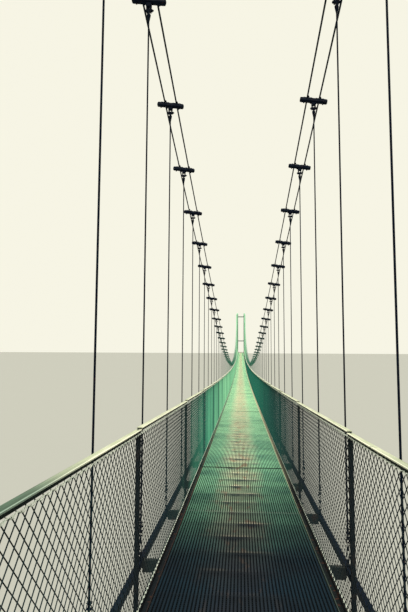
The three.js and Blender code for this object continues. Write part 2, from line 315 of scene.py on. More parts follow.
class Growth(Graph):
    """A geometry tree with named inputs. It ends in Realize Instances and Set Material."""

    def __init__(self, name, **kinds):
        super().__init__(bpy.data.node_groups.new(name, "GeometryNodeTree"))
        interface = self.tree.interface
        kinds["Finish"] = "Material"
        for label, kind in kinds.items():
            interface.new_socket(name=label, in_out="INPUT", socket_type=f"NodeSocket{kind}")
        interface.new_socket(name="Geometry", in_out="OUTPUT", socket_type="NodeSocketGeometry")
        given = self.tree.nodes.new("NodeGroupInput")
        self.given = {label: Value(self, given.outputs[label]) for label in kinds}

    def __getitem__(self, label):
        return self.given[label]

    def line(self, count, start, step):
        inputs = {"Count": count, "Start Location": start, "Offset": step}
        return self.add("GeometryNodeMeshLine", {"mode": "OFFSET"}, inputs)

    def position(self):
        return self.split(self.add("GeometryNodeInputPosition"))

    def curve_height(self, y):
        return self["Low"] + self["Rise"] * (y / HALF_SPAN) ** 2

    def instances(self, points, **inputs):
        part = self.add("GeometryNodeObjectInfo", None, {"Object": self["Part"]}, "Geometry")
        inputs = {"Points": points, "Instance": part, **inputs}
        return self.add("GeometryNodeInstanceOnPoints", None, inputs)

    def realized(self, geometry):
        return self.add("GeometryNodeRealizeInstances", None, {"Geometry": geometry})

    def moved(self, geometry, **inputs):
        return self.add("GeometryNodeSetPosition", None, {"Geometry": geometry, **inputs})

    def close(self, geometry):
        inputs = {"Geometry": self.realized(geometry), "Material": self["Finish"]}
        finished = self.add("GeometryNodeSetMaterial", None, inputs)
        output = self.tree.nodes.new("NodeGroupOutput")
        self.tree.links.new(finished.socket, output.inputs[0])
        return self.tree


def in_scene(name, data):
    made = bpy.data.objects.new(name, data)
    bpy.context.scene.collection.objects.link(made)
    return made


def grow(tree, name, **values):
    """Runs a geometry tree with these inputs and returns what it made as a plain mesh object."""
    piece = in_scene(name, bpy.data.meshes.new(name))
    modifier = piece.modifiers.new("growth", "NODES")
    modifier.node_group = tree
    identifiers = {item.name: item.identifier for item in tree.interface.items_tree}
    for label, value in values.items():
        modifier[identifiers[label]] = value
    graph = bpy.context.evaluated_depsgraph_get()
    mesh = bpy.data.meshes.new_from_object(piece.evaluated_get(graph), depsgraph=graph)
    piece.modifiers.clear()
    piece.data = mesh
    return piece


def draped_tree():
    """A row of parts bent to the deck's curve, cut off at two ends and sagging between bearers."""
    g = Growth(
        "draped row", Part="Object", Count="Int", Start="Vector", Step="Vector", From="Float",
        To="Float", Lean="Float", Low="Float", Rise="Float", Sag="Float",
    )
    row = g.realized(g.instances(g.line(g["Count"], g["Start"], g["Step"])))
    x, y, z = g.position()
    # A part that leans is cut off where its own line crosses the end
    kept_y = y.clamp(g["From"], g["To"])
    kept_z = z + (kept_y - y) * g["Lean"]
    cut = g.moved(row, Position=g.vector(x, kept_y, kept_z))
    # The next move reads the places anew, after the cut. It sinks the row between its bearers,
    # by nothing on each bearer and by most halfway to the next
    along = ((y - JOINT_Y) / BEARER_PITCH).fraction()
    hollow = along * (1 - along) * 4 * abs(x).falling(SAG_FULL_TO_X, SAG_NONE_FROM_X)
    lift = g.curve_height(y) - hollow * g["Sag"]
    return g.close(g.moved(cut, Offset=g.vector(0.0, 0.0, lift)))


def standing_tree():
    """Stiff parts on a curve of the bridge. They follow its slope and a sideways tilt, or hang plumb."""
    g = Growth(
        "parts on a curve", Part="Object", Count="Int", First="Float", Pitch="Float",
        Across="Float", Low="Float", Rise="Float", Drop="Float", Tilt="Float", Follow="Float",
    )
    start = g.vector(g["Across"], g["First"], 0.0)
    points = g.line(g["Count"], start, g.vector(0.0, g["Pitch"], 0.0))
    y = g.position()[1]
    tilt = g["Tilt"] * ((HALF_SPAN - abs(y)) / TILT_FADE).clamp()
    slope = (g["Rise"] * y * (2 / HALF_SPAN**2)).calculate("ARCTANGENT")
    # The drop is square to the curve, so it reaches farther straight down
    level = slope.calculate("COSINE") * tilt.calculate("COSINE")
    height = g.curve_height(y) - g["Drop"] / level
    lifted = g.moved(points, Offset=g.vector(0.0, 0.0, height))
    follow = g["Follow"]
    leaning = g.instances(lifted, Rotation=g.vector(0.0, tilt * follow, 0.0))
    turn = {"Instances": leaning, "Rotation": g.vector(slope * follow, 0.0, 0.0)}
    turn.update({"Pivot Point": g.add("GeometryNodeInputPosition"), "Local Space": False})
    return g.close(g.add("GeometryNodeRotateInstances", None, turn))


def hanger_tree():
    """Upright ropes from the deck's curve to the cables' curve, of a part that is one metre tall."""
    g = Growth(
        "hanger ropes", Part="Object", Count="Int", First="Float", Across="Float",
        Foot="Float", Head="Float",
    )
    start = g.vector(g["Across"], g["First"], 0.0)
    points = g.line(g["Count"], start, (0.0, HANGER_PITCH, 0.0))
    y = g.position()[1]
    foot = deck_z(y) + g["Foot"]
    head = cable_z(y) - g["Head"]
    upright = g.instances(points, Scale=g.vector(1.0, 1.0, head - foot))
    shift = {"Instances": upright, "Translation": g.vector(0.0, 0.0, foot), "Local Space": False}
    return g.close(g.add("GeometryNodeTranslateInstances", None, shift))


def lacing_tree():
    """A wire wound round a line beside the deck's curve."""
    g = Growth(
        "wound lacing", Count="Int", From="Float", Across="Float", Height="Float",
        Radius="Float", Wire="Float",
    )
    points = g.line(g["Count"], (0.0, 0.0, 0.0), (0.0, LACING_STEP, 0.0))
    index = g.add("GeometryNodeInputIndex")
    angle = index * (math.pi / 2) + math.pi / 4
    y = g["From"] + index * LACING_STEP
    x = g["Across"] + angle.calculate("COSINE") * g["Radius"]
    z = deck_z(y) + g["Height"] + angle.calculate("SINE") * g["Radius"]
    wound = g.moved(points, Position=g.vector(x, y, z))
    path = g.add("GeometryNodeMeshToCurve", None, {"Mesh": wound})
    section = g.add("GeometryNodeCurvePrimitiveCircle", None, {"Resolution": 3, "Radius": g["Wire"]})
    skin = {"Curve": path, "Profile Curve": section, "Fill Caps": True}
    return g.close(g.add("GeometryNodeCurveToMesh", None, skin))


draped, standing, hanging, lacing = draped_tree(), standing_tree(), hanger_tree(), lacing_tree()

# Closed forms


def on_side(side, outline):
    """An outline of the right side, or its mirror image for the left."""
    return outline if side > 0 else [(-x, other) for x, other in reversed(outline)]


def i_section(half, low, top, flange, web):
    """The outline of an I-beam, from its half width, its two faces and its thicknesses."""
    neck = web / 2
    return [
        (-half, low), (half, low), (half, low + flange), (neck, low + flange),
        (neck, top - flange), (half, top - flange), (half, top), (-half, top),
        (-half, top - flange), (-neck, top - flange), (-neck, low + flange), (-half, low + flange),
    ]


def ring(centre, axis, radius, sides):
    """The corners of a regular outline round a point, square to an axis."""
    axis = Vector(axis).normalized()
    upright = Vector((0, 0, 1)) if abs(axis.z) < 0.9 else Vector((0, 1, 0))
    side = upright.cross(axis).normalized()
    other = axis.cross(side)
    corners = []
    for corner in range(sides):
        angle = math.tau * corner / sides
        corners.append(Vector(centre) + radius * (math.cos(angle) * side + math.sin(angle) * other))
    return corners


# A station nearer than this to an end is left out
CLOSEST = 0.1 * MM


def stations(start, end, step, origin=0.0):
    """Both ends and every multiple of the step from the origin that lies between them."""
    first = math.floor((start - origin) / step) + 1
    last = math.ceil((end - origin) / step)
    inner = [origin + number * step for number in range(first, last)]
    return [start, *(y for y in inner if start + CLOSEST < y < end - CLOSEST), end]


# A bolt's head and nut, in radiuses of the bolt
HEAD_HEIGHT = 1.4
HEAD_WIDTH = 2
NUT_HEIGHT = 1.8


class Shape:
    """Closed forms that are gathered into one mesh."""

    def __init__(self):
        self.vertices = []
        self.faces = []

    def loft(self, rings):
        """Skins outlines of equally many points and closes both ends."""
        base = len(self.vertices)
        count = len(rings[0])
        for outline in rings:
            self.vertices.extend(tuple(point) for point in outline)
        for low in range(base, base + (len(rings) - 1) * count, count):
            for corner in range(count):
                following = (corner + 1) % count
                quad = (low + corner, low + following, low + following + count, low + corner + count)
                self.faces.append(quad)
        last = base + (len(rings) - 1) * count
        self.faces.append(tuple(range(base + count - 1, base - 1, -1)))
        self.faces.append(tuple(range(last, last + count)))
        return self

    def box(self, low, high):
        (x0, y0, z0), (x1, y1, z1) = low, high
        corners = ((x0, y0), (x1, y0), (x1, y1), (x0, y1))
        return self.loft([[(x, y, z) for x, y in corners] for z in (z0, z1)])

    def block(self, centre, size):
        low = [c - s / 2 for c, s in zip(centre, size)]
        high = [c + s / 2 for c, s in zip(centre, size)]
        return self.box(low, high)

    def turned(self, start, axis, profile, sides):
        """A round form along an axis, of (distance, radius) pairs."""
        axis = Vector(axis).normalized()
        start = Vector(start)
        return self.loft([ring(start + axis * far, axis, radius, sides) for far, radius in profile])

    def rod(self, start, end, radius, sides=6):
        """A straight bar. Six sides also make a nut or the head of a bolt."""
        reach = Vector(end) - Vector(start)
        return self.turned(start, reach, ((0, radius), (reach.length, radius)), sides)

    def swept(self, profile, lengths, height=lambda y: 0.0):
        """An outline of (x, z) points carried along the given places."""
        return self.loft([[(x, y, z + height(y)) for x, z in profile] for y in lengths])

    def crosswise(self, outline, x0, x1):
        """An outline of (y, z) points drawn out across the bridge."""
        return self.loft([[(x, y, z) for y, z in outline] for x in (x0, x1)])

    def upward(self, outline, z0, z1):
        """An outline of (x, y) points drawn upwards."""
        return self.loft([[(x, y, z) for x, y in outline] for z in (z0, z1)])

    def strap(self, path, y0, y1, thickness):
        """A bent flat bar whose underside follows (x, z) points."""
        outlines = []
        for number, (x, z) in enumerate(path):
            before = path[max(number - 1, 0)]
            after = path[min(number + 1, len(path) - 1)]
            along = Vector((after[0] - before[0], after[1] - before[1])).normalized()
            top_x, top_z = x - along.y * thickness, z + along.x * thickness
            outlines.append([(x, y0, z), (x, y1, z), (top_x, y1, top_z), (top_x, y0, top_z)])
        return self.loft(outlines)

    def bolt(self, head, tip, radius, nut_from=None):
        """A bolt with a hexagon head at one end, and a nut that ends nut_from before the tip."""
        head, tip = Vector(head), Vector(tip)
        way = (tip - head).normalized()
        self.rod(head, tip, radius)
        self.rod(head - way * radius * HEAD_HEIGHT, head, radius * HEAD_WIDTH)
        if nut_from is not None:
            nut_start = tip - way * (nut_from + radius * NUT_HEIGHT)
            self.rod(nut_start, tip - way * nut_from, radius * HEAD_WIDTH)

    def placed(self, matrix):
        self.vertices = [tuple(matrix @ Vector(point)) for point in self.vertices]

    def piece(self, name, finish=None):
        mesh = bpy.data.meshes.new(name)
        mesh.from_pydata(self.vertices, [], self.faces)
        solid = bmesh.new()
        solid.from_mesh(mesh)
        bmesh.ops.recalc_face_normals(solid, faces=solid.faces)
        solid.to_mesh(mesh)
        solid.free()
        if finish:
            mesh.materials.append(finish)
        return in_scene(name, mesh)


def join(name, pieces):
    whole = pieces[0]
    chosen = {"active_object": whole, "selected_editable_objects": pieces}
    with bpy.context.temp_override(**chosen):
        bpy.ops.object.join()
    whole.name = name
    whole.data.name = name
    return whole


def settle(piece, node):
    """The piece rides on the bridge and stands for a node."""
    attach(piece, "root")
    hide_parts(node)


def drop_templates(*pieces):
    for piece in pieces:
        bpy.data.objects.remove(piece)


# Finishes

CREAM = (0.76, 0.76, 0.59)
BROWN = (0.050, 0.034, 0.026)
RUST = (0.13, 0.040, 0.016)
NIGHT_BLUE = (0.002, 0.005, 0.013)
SOOT = (0.004, 0.007, 0.010)
SEA_GREEN = (0.05, 0.17, 0.12)
MINT = (0.36, 0.74, 0.47)

# Where the painted light rises along the bridge toward the far end, and where a finish's left side has
# turned into its right
FAR_LIGHT_START = -4.8
FAR_LIGHT_END = -3.0
RIGHT_FROM_X = 20 * MM

# Marks of rope and concrete
STRANDS = 6
OUTER_WIRES = 42
BOARD_HEIGHT = 15 * MM


class Paint(Finish):
    """Outdoor paint, with light painted along the bridge: painted shade at the near end, plainly lit
    past it, painted light toward the far end.

    The painted shade fades out at a place along the bridge, on an edge that a slant turns across it.
    """

    def __init__(self, name, damp_end=-4.45, fade=0.54, slant=0.0, **constants):
        super().__init__(name, specular_ior_level=0.15, **constants)
        drift = (self.noise(7.0, 2.0) - 0.5) * 0.2
        # Painted shade over the near end that fades out past a place, and painted light that grows
        # toward the far end
        self.out_of_painted_shade = (self.y + drift - self.x * slant).rising(damp_end - fade, damp_end)
        self.painted_far_light = (self.y + drift * 3).rising(FAR_LIGHT_START, FAR_LIGHT_END)
        self.height = self.z - deck_z(self.y)

    # Three colours of a finish: in the painted shade of the near end, plainly lit, and in the painted
    # light toward the far end
    def painted_shade_to_light(self, painted_shade_colour, plain_lit_colour, painted_far_light):
        return self.mix(self.painted_far_light, self.mix(self.out_of_painted_shade, painted_shade_colour, plain_lit_colour), painted_far_light)

    def by_side(self, left, right):
        return self.mix(self.x.rising(-RIGHT_FROM_X, RIGHT_FROM_X), left, right)


def grating_finish():
    """Green paint, worn to tan and rust down the middle, with painted shade between the bars and dark in
    the joints.
    """
    f = Paint("trodden grating paint", metallic=0.1)
    along = ((f.y - JOINT_Y) / BEARER_PITCH).fraction()
    crest = f.from_nearest(f.y, JOINT_Y, BEARER_PITCH).falling(0.6 * MM, 5 * MM)
    trough = along.rising(0.55, 0.86) * along.falling(0.93, 0.985)
    strip_end = f.from_nearest(f.y, JOINT_Y, PANEL_LENGTH).falling(1.6 * MM, 2.4 * MM)
    from_wide = f.from_nearest(f.y, JOINT_Y, PANEL_LENGTH * PANELS_A_WIDE_JOINT)
    in_joint = from_wide.falling(WIDE_JOINT / 2, WIDE_JOINT / 2 + 0.3 * MM)
    patches = f.streaks(60, 14, 30)
    grain = f.streaks(900, 160, 400, 3.0)
    track = (abs(f.x + 4 * MM) + (patches - 0.5) * 30 * MM).falling(4 * MM, 42 * MM)
    mottle = f.streaks(42, 22, 30, 5.0).rising(0.42, 0.66)
    bands = f.streaks(6, 14, 6, 5.0).rising(0.40, 0.62)
    paint = f.painted_shade_to_light((0.001, 0.012, 0.022), (0.185, 0.44, 0.265), (0.48, 0.87, 0.50))
    dirt = f.painted_shade_to_light((0.001, 0.002, 0.006), (0.03, 0.12, 0.10), (0.17, 0.44, 0.27))
    colour = f.mix(grain.rising(0.35, 0.75) * 0.2 + mottle * 0.25 + bands * 0.4, paint, dirt)
    worn = f.painted_shade_to_light((0.011, 0.013, 0.021), (0.52, 0.55, 0.36), (0.99, 0.80, 0.53))
    colour = f.mix(track * (0.15 + patches * 0.7 + bands * 0.3), colour, worn)
    flakes = f.streaks(110, 30, 60).rising(0.56, 0.66)
    flaked = f.painted_shade_to_light(BROWN, (0.34, 0.13, 0.08), (0.85, 0.52, 0.36))
    colour = f.mix(flakes * track * 0.6, colour, flaked)
    # Worn polish on the crests over the bearers, with a painted highlight on them
    polished_and_highlit = f.painted_shade_to_light((0.030, 0.030, 0.030), (0.85, 0.82, 0.60), (0.98, 0.90, 0.66))
    colour = f.mix(crest * track * (0.1 + mottle * 0.8), colour, polished_and_highlit)
    # Dirt and painted shade in the dip on the near side of each bearer
    hollow = f.painted_shade_to_light(SOOT, (0.010, 0.025, 0.035), (0.17, 0.40, 0.25))
    colour = f.mix(trough * (track * (0.4 + mottle * 0.6) + 0.15), colour, hollow)
    colour = f.mix(strip_end * (1 - f.out_of_painted_shade) * 0.4, colour, (0.16, 0.22, 0.18))
    bar_from, bar_blend = DECK_HALF - EDGE_BAR, 0.2 * MM
    left_bar = f.painted_shade_to_light((0.02, 0.013, 0.012), (0.10, 0.06, 0.04), (0.22, 0.25, 0.15))
    colour = f.mix(f.x.falling(-bar_from, -bar_from + bar_blend), colour, left_bar)
    # A painted highlight along the right edge bar, which is cream where the left one is rust brown
    right_bar_highlight = f.painted_shade_to_light((0.04, 0.06, 0.05), (0.50, 0.60, 0.38), (0.75, 0.86, 0.56))
    colour = f.mix(f.x.rising(bar_from - bar_blend, bar_from), colour, right_bar_highlight)
    # Painted shade on all that lies deeper than the slats' tops, between the strips, weaker toward the
    # far end
    below = f.height.falling(SLAT_TOP, -0.3 * MM)
    colour = f.mix(below * (0.9 - f.painted_far_light * 0.4), colour, SOOT)
    f.relief(grain + patches, 0.15 * MM, 0.6)
    return f.done(f.mix(in_joint, colour, SOOT), 0.5 + grain * 0.25)


def frame_finish():
    f = Paint("green frame paint")
    flakes = f.noise(90.0, 5.0)
    fine = f.noise(600.0)
    paint = f.painted_shade_to_light((0.006, 0.018, 0.018), (0.02, 0.07, 0.05), (0.06, 0.20, 0.12))
    colour = f.mix(fine * 0.6, paint, BROWN)
    f.relief(flakes + fine * 0.4, 0.12 * MM, 0.6)
    return f.done(f.mix(flakes.rising(0.56, 0.68) * 0.35, colour, RUST), 0.45 + flakes * 0.3)


def fence_finish():
    """The left fence is painted as lit, the right one as in shade."""
    f = Paint("fence paint", damp_end=-4.35)
    spots = f.noise(240.0).rising(0.3, 0.7)
    streaks = f.streaks(1, 9, 1.5).rising(0.40, 0.62)
    by_post = f.from_nearest(f.y, FIRST_POST_Y, POST_PITCH).falling(8 * MM, 50 * MM)
    # Painted light by side: lit colours on the left fence, shaded ones on the right
    left = f.painted_shade_to_light((0.004, 0.018, 0.022), (0.027, 0.22, 0.14), (0.23, 0.56, 0.32))
    right = f.painted_shade_to_light((0.002, 0.012, 0.017), (0.003, 0.027, 0.027), (0.005, 0.12, 0.08))
    shaded = f.painted_shade_to_light(SOOT, (0.003, 0.040, 0.038), (0.010, 0.10, 0.07))
    colour = f.mix(by_post * 0.55 + streaks * 0.35, f.by_side(left, right), shaded)
    return f.done(f.mix(spots * 0.2, colour, SOOT), 0.6 + spots * 0.25)


def post_finish():
    f = Paint("fence post paint", damp_end=-4.2)
    flakes = f.noise(130.0, 4.0)
    paint = f.painted_shade_to_light((0.003, 0.010, 0.014), (0.008, 0.040, 0.036), (0.03, 0.13, 0.09))
    f.relief(flakes, 0.1 * MM)
    return f.done(f.mix(flakes.rising(0.58, 0.68) * 0.5, paint, BROWN), 0.5 + flakes * 0.3)


def foot_rail_finish():
    """Brown and teal on the left, cream on the right, with spots of rust."""
    f = Paint("foot rail paint", damp_end=-4.2)
    spots = f.noise(180.0, 4.0)
    teal = f.noise(30.0, 4.0).rising(0.42, 0.60)
    left = f.painted_shade_to_light((0.004, 0.006, 0.008), (0.022, 0.016, 0.013), (0.24, 0.36, 0.24))
    left = f.mix(teal * 0.8, left, f.painted_shade_to_light(SOOT, (0.010, 0.055, 0.050), (0.06, 0.22, 0.15)))
    right = f.painted_shade_to_light((0.004, 0.007, 0.008), (0.07, 0.065, 0.05), (0.50, 0.47, 0.32))
    colour = f.mix(spots.rising(0.58, 0.68) * 0.3, f.by_side(left, right), RUST)
    f.relief(spots, 0.1 * MM)
    return f.done(colour, 0.5 + spots * 0.3)


def rail_finish():
    """Chalky paint, rubbed to cream at the inner edge, with painted shade under the flat top."""
    f = Paint("weathered handrail paint", damp_end=-5.14, fade=0.10, slant=0.3)
    streaks = f.streaks(700, 18, 700)
    spots = f.noise(150.0, 4.0)
    paint = f.painted_shade_to_light((0.012, 0.032, 0.021), (0.33, 0.37, 0.25), (0.46, 0.50, 0.39))
    faded = f.painted_shade_to_light((0.045, 0.11, 0.075), (0.48, 0.50, 0.37), (0.55, 0.57, 0.49))
    colour = f.mix(streaks.rising(0.3, 0.7), paint, faded)
    rubbed = abs(f.x).falling(70.4 * MM, 70.9 * MM)
    colour = f.mix(rubbed, colour, f.painted_shade_to_light((0.17, 0.25, 0.20), CREAM, CREAM))
    colour = f.mix(spots.rising(0.62, 0.72) * 0.5, colour, (0.06, 0.11, 0.07))
    # Painted shade on the leg under the flat top
    under = f.height.falling(RAIL_TOP - 1.2 * MM, RAIL_TOP - 0.7 * MM)
    f.relief(streaks, 0.1 * MM)
    return f.done(f.mix(under, colour, (0.006, 0.020, 0.018)), 0.4 + spots * 0.25)


def wire_finish():
    f = Finish("bright lacing wire")
    dull = f.noise(120.0)
    # Painted highlight: the near-white colour stands for the glints on the wound wire
    return f.done(f.mix(dull, (0.95, 0.96, 0.84), (0.42, 0.54, 0.45)), 0.35 + dull * 0.3)


def lit_toward_far_tower(f, near):
    """Painted shade and light along the bridge: the dark near colour stands for shaded undersides, and
    turns sea green past it and mint toward the far tower, where lit faces are seen.
    """
    green = f.mix(f.y.rising(-3.8, -1.2), near, SEA_GREEN)
    return f.mix(f.y.rising(0.0, 6.5), green, MINT)


def steel_finish():
    f = Finish("dark weathered steel", specular_ior_level=0.03)
    bloom = f.noise(130.0, 4.0)
    pits = f.noise(900.0)
    colour = f.mix(bloom.rising(0.45, 0.7), NIGHT_BLUE, (0.006, 0.012, 0.021))
    colour = f.mix(pits.rising(0.62, 0.7) * 0.3, colour, RUST)
    f.relief(pits, 0.08 * MM)
    # Painted shade at the near end and painted light toward the far tower
    return f.done(lit_toward_far_tower(f, colour), 0.42 + bloom * 0.3)


def rope_finish():
    """Strands that run round a rope, on its own UV map: u goes round, v counts diameters."""
    f = Finish("stranded wire rope", metallic=0.2, specular_ior_level=0.05)
    u, v = f.split(f.add("ShaderNodeTexCoord", None, None, "UV"))[:2]
    strand = ((u * STRANDS + v / 6).fraction() * 2 - 1) ** 2
    wires = ((u * OUTER_WIRES - v * 1.2).fraction() * 2 - 1) ** 2
    grime = f.noise(60.0)
    steel = f.mix(grime, (0.018, 0.027, 0.036), (0.007, 0.012, 0.018))
    # Painted shade in the grooves between the strands
    steel = f.mix(strand * 0.7, steel, (0.004, 0.006, 0.007))
    f.relief(1 - strand - wires * 0.15, 0.25 * MM, 0.8)
    # Painted shade at the near end and painted light toward the far tower
    return f.done(lit_toward_far_tower(f, steel), 0.35 + grime * 0.3)


def tower_finish():
    """Pale paint outside. The channels on the walkway side are darker: darker paint, and painted shade
    of their recess.
    """
    f = Finish("weathered tower paint", metallic=0.1)
    streaks = f.streaks(160, 160, 9, 5.0)
    spots = f.noise(70.0, 5.0)
    paint = f.mix(streaks.rising(0.35, 0.65), (0.34, 0.74, 0.46), (0.55, 0.90, 0.62))
    # The walkway-side channels: darker paint and painted shade in their recess
    paint = f.mix(abs(f.x).falling(93 * MM, 97 * MM), paint, (0.05, 0.20, 0.12))
    paint = f.mix(spots.rising(0.6, 0.68) * 0.4, paint, (0.10, 0.24, 0.18))
    rusty = spots.rising(0.66, 0.72) * streaks.rising(0.4, 0.6)
    f.relief(spots, 0.1 * MM)
    return f.done(f.mix(rusty * 0.7, paint, RUST), 0.4 + spots * 0.3)


def concrete_finish():
    """Board-marked concrete: level boards, the grain of their faces, and dark runs of water stains."""
    f = Finish("board marked concrete")
    seam = f.from_nearest(f.z, 0.0, BOARD_HEIGHT).falling(0.0, 0.07 * BOARD_HEIGHT)
    grain = f.streaks(30, 30, 900)
    mottle = f.noise(22.0, 6.0)
    runs = f.streaks(45, 45, 2.5)
    pores = f.add("ShaderNodeTexVoronoi", None, {"Vector": f.place, "Scale": 220.0}).falling(0.1, 0.25)
    colour = f.mix(mottle, (0.25, 0.24, 0.21), (0.40, 0.39, 0.34))
    colour = f.mix(runs.rising(0.5, 0.85) * 0.5, colour, (0.12, 0.13, 0.09))
    colour = f.mix(seam * 0.5, colour, (0.16, 0.16, 0.13))
    f.relief(grain * 0.4 - seam - pores * 0.8 + mottle * 0.3, 0.4 * MM, 0.8)
    return f.done(colour, 0.8 + mottle * 0.15)


finishes = {
    "deck": grating_finish(),
    "frame": frame_finish(),
    "fence": fence_finish(),
    "post": post_finish(),
    "foot rail": foot_rail_finish(),
    "rail": rail_finish(),
    "wire": wire_finish(),
    "steel": steel_finish(),
    "rope": rope_finish(),
    "tower": tower_finish(),
    "concrete": concrete_finish(),
}

# Deck


def joint_gap(number):
    return NARROW_JOINT if number % PANELS_A_WIDE_JOINT else WIDE_JOINT


def panel_spans(start, end):
    """The lengths of grating between two ends, parted by a gap at each joint."""
    spans = []
    first = math.floor((start - JOINT_Y) / PANEL_LENGTH)
    last = math.ceil((end - JOINT_Y) / PANEL_LENGTH)
    for number in range(first, last):
        joint = JOINT_Y + number * PANEL_LENGTH
        low = max(joint + joint_gap(number) / 2, start)
        high = min(joint + PANEL_LENGTH - joint_gap(number + 1) / 2, end)
        if high > low + SHORTEST_PANEL:
            spans.append((low, high))
    return spans


def grating_strip(spans, step):
    """One wedge-shaped strip of each panel, flat on top."""
    half = STRIP_WIDTH / 2
    wedge = [(-half, 0.0), (0.0, -STRIP_DEPTH), (half, 0.0)]
    shape = Shape()
    for low, high in spans:
        shape.swept(wedge, stations(low, high, step, JOINT_Y))
    return shape.piece("strip")


def grating_frame(spans):
    """Edge bars, end bars and bearers of the panels, on the deck's curve."""
    shape = Shape()
    inner, under = DECK_HALF - EDGE_BAR, -DECK_DEPTH
    for low, high in spans:
        places = stations(low, high, BEARER_PITCH, JOINT_Y)
        for side in (-1, 1):
            x0, x1 = sorted((side * DECK_HALF, side * inner))
            shape.swept([(x0, under), (x1, under), (x1, 0), (x0, 0)], places, deck_z)
        for y0, y1 in ((low, low + EDGE_BAR), (high - EDGE_BAR, high)):
            z = deck_z((y0 + y1) / 2)
            shape.box((-inner, y0, z + under), (inner, y1, z + END_BAR_TOP))
        for y in places[1:-1]:
            y0, y1, z = y - BEARER_HALF, y + BEARER_HALF, deck_z(y)
            shape.box((-inner, y0, z + under), (inner, y1, z + BEARER_TOP))
    return shape.piece("frame", finishes["deck"])


def make_grating(number):
    start, end = section_span(number, GRATINGS)
    spans = panel_spans(start, end)
    made = [grating_frame(spans)]
    trodden = grating_strip(spans, BEARER_PITCH / 3)
    plain = grating_strip(spans, PANEL_LENGTH)
    x, y = SLAT_HALF
    slat = Shape().box((-x, -y, -DECK_DEPTH), (x, y, SLAT_TOP)).piece("slat")
    across, along = (STRIP_PITCH, 0.0, 0.0), (0.0, SLAT_PITCH, 0.0)
    outer_count = STRIPS_A_SIDE - TRODDEN_STRIPS
    for part, count, first, step, sag in (
        (trodden, 2 * TRODDEN_STRIPS + 1, (-TRODDEN_STRIPS * STRIP_PITCH, 0.0, 0.0), across, SAG),
        (plain, outer_count, (-STRIPS_A_SIDE * STRIP_PITCH, 0.0, 0.0), across, 0.0),
        (plain, outer_count, ((TRODDEN_STRIPS + 1) * STRIP_PITCH, 0.0, 0.0), across, 0.0),
        (slat, int((end - start) / SLAT_PITCH), (0.0, start + SLAT_INSET, 0.0), along, 0.0),
    ):
        row = {"Part": part, "Count": count, "Start": first, "Step": step, "Sag": sag}
        row.update(From=start, To=end, Finish=finishes["deck"])
        made.append(grow(draped, "row", **row, **ON_DECK))
    drop_templates(trodden, plain, slat)
    settle(join(f"grating_panels_{number}", made), f"deck_grating_{number}")


def crossbeam():
    """A channel with end plates and the bolts that hold the edge angles and the grating."""
    reach, depth, half, web = 87.6 * MM, 10 * MM, 2.5 * MM, 0.7 * MM
    end_plate, end_width, off_middle, bolt_radius = 0.8 * MM, 7 * MM, 0.8 * MM, 0.5 * MM
    channel = [
        (-half, -depth), (half, -depth), (half, -depth + web), (-half + web, -depth + web),
        (-half + web, -web), (half, -web), (half, 0.0), (-half, 0.0),
    ]
    shape = Shape().crosswise(channel, -reach, reach)
    for side in (-1, 1):
        middle = (side * (reach - end_plate / 2), off_middle, -depth / 2)
        shape.block(middle, (end_plate, end_width, depth))
        for y in mm(-1.3, 3.2):
            x, z = side * reach, -6 * MM
            shape.bolt((x, y, z), (x - side * 2.2 * MM, y, z), bolt_radius)
        for x in mm(side * 30, side * 62, side * 72):
            shape.bolt((x, off_middle, -web), (x, off_middle, -3.4 * MM), bolt_radius)
    return shape.piece("beam")


def make_crossbeams(number):
    start, end = section_span(number, SECTIONS, FRAME_SHIFT)
    places = hanger_places(start, end)
    beam = crossbeam()
    rows = [(places[0], len(places))]
    rows += [
        (math.copysign(HALF_SPAN - END_BEAM_INSET, last), 1)
        for last in (start, end) if abs(last) > HALF_SPAN - GAP
    ]
    made = []
    for first, count in rows:
        row = {"Part": beam, "First": first, "Pitch": HANGER_PITCH, "Count": count, **ON_DECK}
        made.append(grow(standing, "row", Drop=-BEAM_TOP, Finish=finishes["frame"], **row))
    drop_templates(beam)
    joist = i_section(2 * MM, BEAM_TOP - JOIST_DEPTH, BEAM_TOP, 0.6 * MM, 0.6 * MM)
    stringer = Shape().swept(joist, stations(start, end, POST_PITCH), deck_z)
    made.append(stringer.piece("stringer", finishes["frame"]))
    settle(join(f"crossbeam_frame_{number}", made), f"crossbeams_{number}")


# Fences


def chord_z(y):
    """The deck's height along the straight rail lengths between two posts."""
    start = FIRST_POST_Y + math.floor((y - FIRST_POST_Y) / POST_PITCH) * POST_PITCH
    share = (y - start) / POST_PITCH
    return deck_z(start) * (1 - share) + deck_z(start + POST_PITCH) * share


def rail_lengths(start, end):
    """The rails' lengths from post to post, with a narrow joint at each post."""
    stops = stations(start, end, POST_PITCH, FIRST_POST_Y)
    for number, (low, high) in enumerate(zip(stops, stops[1:])):
        low += RAIL_JOINT if number else 0
        high -= RAIL_JOINT if number < len(stops) - 2 else 0
        yield low, high


def handrail_lengths(side, start, end):
    """Angle lengths, flat on top. Each starts a step above the end of the one before."""
    inner, outer, thin = FENCE_INNER, FENCE_OUTER, 0.6 * MM
    top, leg = RAIL_TOP, 4 * MM
    handrail = on_side(side, [
        (inner, top - thin), (outer - thin, top - thin), (outer - thin, top - leg),
        (outer, top - leg), (outer, top), (inner, top),
    ])
    shape = Shape()
    for low, high in rail_lengths(start, end):
        shape.loft([
            [(x, y, z + chord_z(y) + step) for x, z in handrail]
            for y, step in ((low, RAIL_STEP / 2), (high, -RAIL_STEP / 2))
        ])
    return shape.piece("handrail", finishes["rail"])


